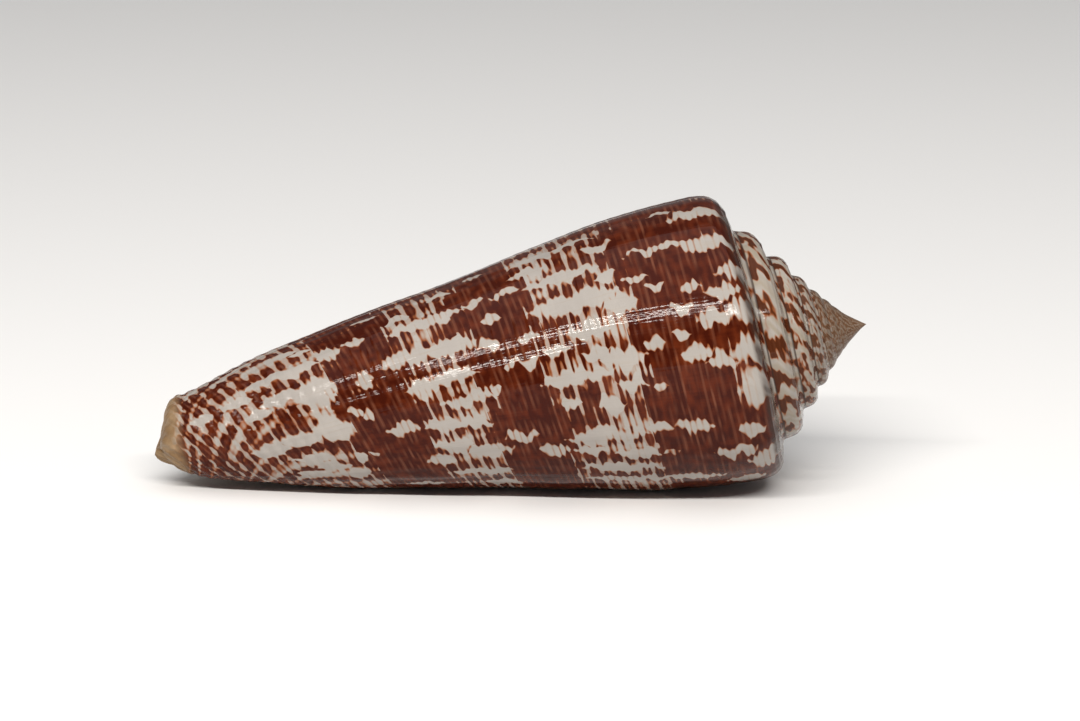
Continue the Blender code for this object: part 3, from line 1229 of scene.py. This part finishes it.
toothed = noise(marks, back, lip_depth, TEETH_GRAIN) * TEETH_UNEVEN + TEETH_MEAN
field = field - thread * toothed * front.between(TEETH, FRONT_TEETH)
wobble = noise(marks, lip_depth, streak, THREAD_SHIFT_GRAIN) * THREAD_SHIFT
wobble = wobble + noise(marks, back, lip_depth, EDGE_GRAIN) * EDGE_WOBBLE
spot = combine(marks, back + wobble, lip_depth, 0.0)
eye_marks = inside_any(marks, spot, DARK_MARKS) * DARK_PUSH
eye_marks = eye_marks - inside_any(marks, spot, WHITE_MARKS) * WHITE_PULL
field = field + eye_marks
early = on_spire(back, lip_depth)
ramp = (early + lip_depth.smooth(*RAMP_FROM)).math("MINIMUM", 1.0)
only_gap = (open_field + eye_marks).smooth(*IN_A_GAP) * (1 - ramp)
print("lenses in the field:", len(WHITE_MARKS) + len(DARK_MARKS))

# %% [markdown]
# The spire has flammules, the flame-like blotches that cross each ramp at a slant. They are one
# bent wave with coarse and fine chance laid over it, and lean towards brown at the lower edge.

# %% Flammules on the spire
FLAMMULE = 0.056
FLAMMULE_WAVE = 0.40
FLAMMULE_BEND = 1.6
FLAMMULE_BEND_GRAIN = (14.0, 0.4, 12.0)
BLOTCHES = 0.6
BLOTCH_GRAIN = (44.0, 0.9, 19.0)
FLECKS = 0.30
FLECK_GRAIN = (70.0, 1.7, 33.0)
FLAMMULE_SPARE = 0.20
LOWER_EDGE = (12.8, 14.2)
LOWER_EDGE_LIFT = 0.22
FLAMMULE_STEEPNESS = 2.6

flammule_bend = noise(marks, back, lip_depth, FLAMMULE_BEND_GRAIN) * FLAMMULE_BEND
flammule = (streak * (math.tau / FLAMMULE) + flammule_bend).math("COSINE") * FLAMMULE_WAVE
flammule = flammule + noise(marks, streak, lip_depth, BLOTCH_GRAIN) * BLOTCHES - FLAMMULE_SPARE
flammule = flammule + noise(marks, streak, lip_depth, FLECK_GRAIN) * FLECKS
flammule = flammule + lip_depth.smooth(*LOWER_EDGE) * LOWER_EDGE_LIFT
give(
    marks,
    Field=ramp.between(field, flammule * FLAMMULE_STEEPNESS),
    From_edge=from_edge,
    Number=number,
    Thread=thread,
    Gap=only_gap,
)
print("flammules in a turn:", round(1 / FLAMMULE))


# %% [markdown]
# ## Colours, gloss and fine relief
#
# The brown is a dark red-brown that varies from row to row, with an orange fringe where it ends and
# pale lines along the threads. The white is a greyish cream with a faint brown halo round the
# marks. The tip of the front end and the oldest turns are worn to a dull tan.

# %% The colours, and how two are mixed
DARK_BROWN = (0.038, 0.0045, 0.0012)
RED_BROWN = (0.088, 0.0145, 0.0038)
SPIRE_BROWN = (0.066, 0.019, 0.0065)
SPIRE_GREY = (0.270, 0.232, 0.185)
# Dark brown of the seams, also used for the painted shade at the shoulder's corner
SEAM_AND_SHADE_BROWN = (0.030, 0.014, 0.009)
FRINGE = (0.21, 0.060, 0.018)
PALE_LINE = (0.150, 0.050, 0.026)
CREAM = (0.335, 0.308, 0.282)
GREY_CREAM = (0.275, 0.253, 0.234)
GAP_WHITE = (0.26, 0.165, 0.125)
HALO = (0.29, 0.215, 0.165)
WORN_TAN = (0.27, 0.185, 0.105)
TIP_TAN = (0.200, 0.125, 0.062)
APEX_TAN = (0.112, 0.064, 0.036)
PORCELAIN = (0.74, 0.68, 0.62)
DEEP_PORCELAIN = (0.56, 0.45, 0.42)


def blend(tree, share, first, second, mode="MIX"):
    """Mix two colours, each a flow or three numbers."""
    node = tree.nodes.new("ShaderNodeMix")
    node.data_type = "RGBA"
    node.blend_type = mode
    feed(tree, node.inputs[0], share)
    for socket, colour in zip((node.inputs[6], node.inputs[7]), (first, second)):
        feed(tree, socket, colour if isinstance(colour, Flow) else (*colour, 1.0))
    return Flow(tree, node.outputs[2])


print("brown and white:", DARK_BROWN, CREAM)

# %% [markdown]
# Everything in this group varies with the same few noises: fine growth lines, wider growth bands,
# soft clouds, and a tint for each row and each thread. Sharing them is what makes the colours look
# grown together.

# %% The brown, with its pale lines
LINE_GRAIN = (420.0, 0.25, 3.0)
BAND_GRAIN = (90.0, 0.05, 6.0)
CLOUD_GRAIN = (16.0, 0.22, 11.0)
ROW_TINT = 0.35
ROW_TINT_GRAIN = (5.1, 11.0, 2.0)
THREAD_TINT = 0.45
THREAD_TINT_GRAIN = (1.4, 70.0, 14.0)
BAND_TINT = 0.15
LINE_TINT = 0.10
MEAN_TINT = 0.28
PALE_THREADS = 0.42
THREAD_TOPS = (-0.2, 1.0)
PALE_ROW_EDGES = 0.30
ROW_EDGES = (0.03, 0.22)
PALE_MEAN = 0.45
PALE_SPREAD = 0.9
PALE_GRAIN = (44.0, 0.8, 9.0)
SPIRE_BROWN_SHARE = 0.75

coloured, () = new_group(
    "Shell surface",
    SHADER,
    {},
    {"Colour": "colour", "Roughness": "number", "Relief": "number"},
)
back, lip_depth, streak, size, depth = use(coloured, growth_place)
field, from_edge, number, thread, only_gap = use(coloured, marks)
growth_line = noise(coloured, streak, lip_depth, LINE_GRAIN)
growth_band = noise(coloured, streak, lip_depth, BAND_GRAIN)
cloud = noise(coloured, back, lip_depth, CLOUD_GRAIN, detail=2.0)
row_tint = noise(coloured, number, streak, ROW_TINT_GRAIN) * ROW_TINT
thread_tint = noise(coloured, lip_depth, streak, THREAD_TINT_GRAIN) * THREAD_TINT
red = growth_band * BAND_TINT + row_tint + growth_line * LINE_TINT + thread_tint + MEAN_TINT
brown = blend(coloured, red.share(0, 1), DARK_BROWN, RED_BROWN)
row_edges = 1 - from_edge.smooth(*ROW_EDGES)
pale_lines = thread.smooth(*THREAD_TOPS) * PALE_THREADS + row_edges * PALE_ROW_EDGES
line_strength = noise(coloured, streak, lip_depth, PALE_GRAIN) * PALE_SPREAD + PALE_MEAN
brown = blend(coloured, pale_lines * line_strength.share(0, 1), brown, PALE_LINE)
early = on_spire(back, lip_depth)
brown = blend(coloured, early * SPIRE_BROWN_SHARE, brown, SPIRE_BROWN)
print("rows differ by", ROW_TINT, "and threads by", THREAD_TINT, "of the step between the browns")

# %% [markdown]
# The white is darker in the gaps between rows, greyer on the ramps, and tinted close to a mark.
# The field decides between it and the brown over a short distance, so that edges are crisp but not
# cut, and the fringe fills that distance.

# %% The white, and the edge between the two
GREY_MEAN = 0.35
GREY_SPREAD = 0.4
WORN_LINES_FROM = 0.1
WORN_LINES_SPREAD = 0.5
WORN_LINES = 0.22
GAP_TINT = 0.5
STAIN_MEAN = 0.55
STAIN_SPREAD = 0.5
RAMP_BEGINS = (11.9, 11.5)
HALO_REACH = (-1.1, -0.3)
HALO_SHARE = 0.65
EDGE_WIDTH = (-0.62, 0.26)
FRINGE_ENDS = (0.05, 0.50)

white = blend(coloured, (cloud * GREY_SPREAD + GREY_MEAN).share(0, 1), CREAM, GREY_CREAM)
worn_lines = (growth_line * WORN_LINES_SPREAD - WORN_LINES_FROM).share(0, 1)
white = blend(coloured, worn_lines * WORN_LINES, white, WORN_TAN)
white = blend(coloured, only_gap * GAP_TINT, white, GAP_WHITE)
on_ramp = (early + lip_depth.smooth(*RAMP_BEGINS)).share(0, 1)
stained = (growth_band * STAIN_SPREAD + STAIN_MEAN).share(0, 1)
white = blend(coloured, on_ramp * stained, white, SPIRE_GREY)
white = blend(coloured, field.smooth(*HALO_REACH) * HALO_SHARE, white, HALO)
edge = blend(coloured, field.smooth(*FRINGE_ENDS), FRINGE, brown)
colour = blend(coloured, field.smooth(*EDGE_WIDTH), white, edge)
print("the field passes from white to brown between", *EDGE_WIDTH)

# %% [markdown]
# Dirt, wear and painted shade come last. The seams between turns are dark, and the corner at the
# shoulder is darkened with painted shade; the oldest turns and the tip of the front end are rubbed
# down to a duller tan.

# %% Dark seams, painted shade at the shoulder, and worn ends
SEAM_ABOVE = (10.85, 10.62)
SEAM_BELOW = (14.28, 14.46)
# Where the band of painted shade lies, in the groove at the shoulder's corner
SHADED_CORNER_TOP = (11.15, 11.35)
SHADED_CORNER_FOOT = (12.5, 11.9)
CORNER_SHADE_SHARE = 0.95
CORNER_SHADE_SPREAD = 0.5
CORD_PITCH = 1.05
CORD_TOPS = (0.2, 0.9)
CORDS_FROM = (2.2, 4.0)
CORD_SHARE = 0.55
SEAM_AND_SHADE_SHARE = 0.8
OLD_FROM = (2.4, 5.2)
OLD_SHARE = 0.85
OLD_LINES_MEAN = 0.85
OLD_LINES_SPREAD = 0.3
FRONT_WORN_FROM = (62.6, 64.2)
FRONT_WORN_SHARE = 0.9
TAN_MEAN = 0.5
TAN_CLOUDS = 0.9
TAN_BANDS = 0.1

seams_and_shade = lip_depth.smooth(*SEAM_ABOVE) + lip_depth.smooth(*SEAM_BELOW) * early
# Painted shade: the groove at the shoulder's corner is darkened in the colour, on the last whorl
# only
shoulder_corner_shade = lip_depth.smooth(*SHADED_CORNER_TOP) * lip_depth.smooth(*SHADED_CORNER_FOOT)
seams_and_shade = seams_and_shade + shoulder_corner_shade * (1 - early) * (growth_band * CORNER_SHADE_SPREAD + CORNER_SHADE_SHARE)
cords = (lip_depth * (math.tau / CORD_PITCH)).math("COSINE").smooth(*CORD_TOPS)
seams_and_shade = seams_and_shade + cords * back.smooth(*CORDS_FROM) * CORD_SHARE
# The dark seams, the cords and the painted shade at the shoulder's corner are laid on in one brown
colour = blend(coloured, seams_and_shade.share(0, 1) * SEAM_AND_SHADE_SHARE, colour, SEAM_AND_SHADE_BROWN)
old = back.smooth(*OLD_FROM) * OLD_SHARE
old_lines = (growth_line * OLD_LINES_SPREAD + OLD_LINES_MEAN).share(0, 1)
colour = blend(coloured, old * old_lines, colour, APEX_TAN)
front_worn = depth.smooth(*FRONT_WORN_FROM)
tan_share = (cloud * TAN_CLOUDS + growth_band * TAN_BANDS + TAN_MEAN).share(0, 1)
tan = blend(coloured, tan_share, WORN_TAN, TIP_TAN)
colour = blend(coloured, front_worn * FRONT_WORN_SHARE, colour, tan)
print("worn from", OLD_FROM[0], "turns back, and below", FRONT_WORN_FROM[0], "mm")

# %% [markdown]
# A clean shell is glossy, and its gloss is broken by the growth lines and threads, which are too
# fine for the mesh. They become a bump, and the worn parts are rougher.

# %% Gloss and the finest relief
GLOSS = 0.09
BAND_ROUGHNESS = 0.02
CLOUD_ROUGHNESS = 0.02
WORN_ROUGHNESS = 0.25
LINE_HEIGHT = 0.0025
BAND_HEIGHT = 0.005
FINE_THREAD_HEIGHT = 0.0035

roughness = GLOSS + growth_band * BAND_ROUGHNESS + cloud * CLOUD_ROUGHNESS
roughness = roughness + old * WORN_ROUGHNESS + front_worn * WORN_ROUGHNESS
fine = growth_line * LINE_HEIGHT + growth_band * BAND_HEIGHT + thread * FINE_THREAD_HEIGHT
give(coloured, Colour=colour, Roughness=roughness, Relief=fine * size.math("SQRT"))
print("roughness of the clean shell:", GLOSS)

# %% [markdown]
# ## Two finishes
#
# Outside and inside share the surface group. The inside is smooth porcelain, paler at the lip than
# deep inside, with only a trace of the pattern showing through.

# %% The two materials
SPECULAR_LEVEL = 0.12
LINING_GRAIN = (25.0, 0.3, 3.0)
DEEP_FROM = (0.02, 0.5)
LINING_CLOUDS = 0.12
PATTERN_TRACE = 0.08
LINING_ROUGHNESS = 0.2
LINING_ROUGHNESS_CLOUDS = 0.04
LINING_RELIEF = 0.5


def new_material(name):
    material = bpy.data.materials.new(name)
    material.use_nodes = True
    return material, material.node_tree, material.node_tree.nodes["Principled BSDF"]


def raise_surface(tree, height, shader):
    """Height in millimetres as a bump of the shader's normal."""
    bump = step(tree, "ShaderNodeBump", Strength=1.0, Distance=MM, Height=height)
    feed(tree, shader.inputs["Normal"], bump)


outside_finish, tree, shader = new_material("patterned outside")
colour, roughness, height = use(tree, coloured)
feed(tree, shader.inputs["Base Color"], colour)
feed(tree, shader.inputs["Roughness"], roughness)
feed(tree, shader.inputs["Specular IOR Level"], SPECULAR_LEVEL)
raise_surface(tree, height, shader)

inside_finish, tree, shader = new_material("porcelain inside")
colour, _, height = use(tree, coloured)
back, lip_depth = use(tree, growth_place)[:2]
cloud = noise(tree, back, lip_depth, LINING_GRAIN, detail=2.0)
deep = (back.smooth(*DEEP_FROM) + cloud * LINING_CLOUDS).share(0, 1)
lining = blend(tree, deep, PORCELAIN, DEEP_PORCELAIN)
feed(tree, shader.inputs["Base Color"], blend(tree, PATTERN_TRACE, lining, colour))
feed(tree, shader.inputs["Roughness"], cloud * LINING_ROUGHNESS_CLOUDS + LINING_ROUGHNESS)
raise_surface(tree, height * LINING_RELIEF, shader)
print("finishes:", outside_finish.name, "and", inside_finish.name)

# %% [markdown]
# ## Making the mesh
#
# The tree is run once on an empty object. Its result is turned into a plain mesh, so that what
# follows, and anyone who opens the file, has an ordinary object.

# %% Run the tree and keep a plain mesh
def input_name(tree, label):
    """A modifier's input is set by its socket's identifier."""
    return next(
        item.identifier
        for item in tree.interface.items_tree
        if item.item_type == "SOCKET" and item.in_out == "INPUT" and item.name == label
    )


source = bpy.data.objects.new("shell source", bpy.data.meshes.new("shell source"))
bpy.context.scene.collection.objects.link(source)
modifier = source.modifiers.new("cone shell", "NODES")
modifier.node_group = shell_tree
settings = {
    "Columns per turn": COLUMNS_PER_TURN,
    "Axis pitch": AXIS_PITCH,
    "Flat depth": FLAT_DEPTH,
    "Outside finish": outside_finish,
    "Inside finish": inside_finish,
}
for label, value in settings.items():
    modifier[input_name(shell_tree, label)] = value
evaluated = source.evaluated_get(bpy.context.evaluated_depsgraph_get())
shell = bpy.data.objects.new("shell", bpy.data.meshes.new_from_object(evaluated))
source.modifiers.remove(modifier)
bpy.data.objects.remove(source)
bpy.context.scene.collection.objects.link(shell)
triangles = sum(len(face.vertices) - 2 for face in shell.data.polygons)
print("shell:", triangles, "triangles;", [layer.name for layer in shell.data.uv_layers])
print("size in mm:", [round(side / MM, 2) for side in shell.dimensions])

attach(shell, "root")
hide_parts("cone_shell")

# %% [markdown]
# ## Floor, light and camera
#
# The floor is one plain pale square. It catches the soft shadow, and throws light up on the lower
# half of the shell.

# %% A pale floor
FLOOR_HALF = 1.5
FLOOR_GREY = 0.86
FLOOR_ROUGHNESS = 0.6

floor_finish, _, shader = new_material("pale floor")
shader.inputs["Base Color"].default_value = (FLOOR_GREY, FLOOR_GREY, FLOOR_GREY, 1.0)
shader.inputs["Roughness"].default_value = FLOOR_ROUGHNESS
floor_mesh = bpy.data.meshes.new("floor")
floor_corners = [
    (sx * FLOOR_HALF, sy * FLOOR_HALF, 0) for sx, sy in ((-1, -1), (1, -1), (1, 1), (-1, 1))
]
floor_mesh.from_pydata(floor_corners, [], [(0, 1, 2, 3)])
floor_mesh.materials.append(floor_finish)
floor = bpy.data.objects.new("floor", floor_mesh)
bpy.context.scene.collection.objects.link(floor)
print("floor:", 2 * FLOOR_HALF, "m across")

# %% [markdown]
# A wide soft light hangs above. A long narrow strip in front draws the bright streak along the
# side, and a pale sky fills the shadows.

# %% Soft studio light
AIM_HEIGHT = 0.012
STRIP = {"width": 0.60, "depth": 0.026, "watts": 4.2, "colour": (1.0, 0.96, 0.91)}
SKY_COLOUR = (1.0, 0.985, 0.97, 1.0)
SKY_STRENGTH = 0.18


def aim(obj, target):
    direction = Vector(target) - obj.location
    obj.rotation_euler = direction.to_track_quat("-Z", "Y").to_euler()


def softbox(name, location, width, depth, watts, colour=(1.0, 1.0, 1.0)):
    light = bpy.data.lights.new(name, "AREA")
    light.color = colour
    light.shape = "RECTANGLE"
    light.size = width
    light.size_y = depth
    light.energy = watts
    obj = bpy.data.objects.new(name, light)
    obj.location = location
    aim(obj, (0, 0, AIM_HEIGHT))
    bpy.context.scene.collection.objects.link(obj)


softbox("wide above", (0.0, -0.10, 0.85), width=1.20, depth=1.00, watts=4.0)
softbox("strip in front", (-0.05, -0.40, 0.385), **STRIP)

world = bpy.data.worlds.new("pale studio")
world.use_nodes = True
background = world.node_tree.nodes["Background"]
background.inputs["Color"].default_value = SKY_COLOUR
background.inputs["Strength"].default_value = SKY_STRENGTH
bpy.context.scene.world = world
bpy.context.scene.view_settings.view_transform = "Standard"
print("lights:", ", ".join(light.name for light in bpy.data.lights))

# %% [markdown]
# The camera stands where the photograph was taken from. Its focal length is given in the
# photograph's pixels, and the shift puts the shell where it is in the photograph.

# %% The camera, where the photograph was taken from
AZIMUTH = math.radians(-1.20)
ELEVATION = math.radians(13.0)
DISTANCE = 0.380
LOOKS_AT = Vector((0, 0, AIM_HEIGHT))
PIXELS_WIDE = 1080
PIXELS_HIGH = 721
FOCAL_PIXELS = 4156
SHOWN_AT = (513.3, 354.3)
SENSOR = 36.0
NEAREST = 0.01

towards_camera = Vector(
    (
        math.sin(AZIMUTH) * math.cos(ELEVATION),
        -math.cos(AZIMUTH) * math.cos(ELEVATION),
        math.sin(ELEVATION),
    )
)
view = bpy.data.cameras.new("photograph's view")
view.sensor_width = SENSOR
view.lens = FOCAL_PIXELS / PIXELS_WIDE * SENSOR
view.shift_x = (PIXELS_WIDE / 2 - SHOWN_AT[0]) / PIXELS_WIDE
view.shift_y = (SHOWN_AT[1] - PIXELS_HIGH / 2) / PIXELS_WIDE
view.clip_start = NEAREST
camera = bpy.data.objects.new("camera", view)
camera.location = LOOKS_AT + towards_camera * DISTANCE
aim(camera, LOOKS_AT)
bpy.context.scene.collection.objects.link(camera)
bpy.context.scene.camera = camera
print("lens:", round(view.lens, 1), "mm")
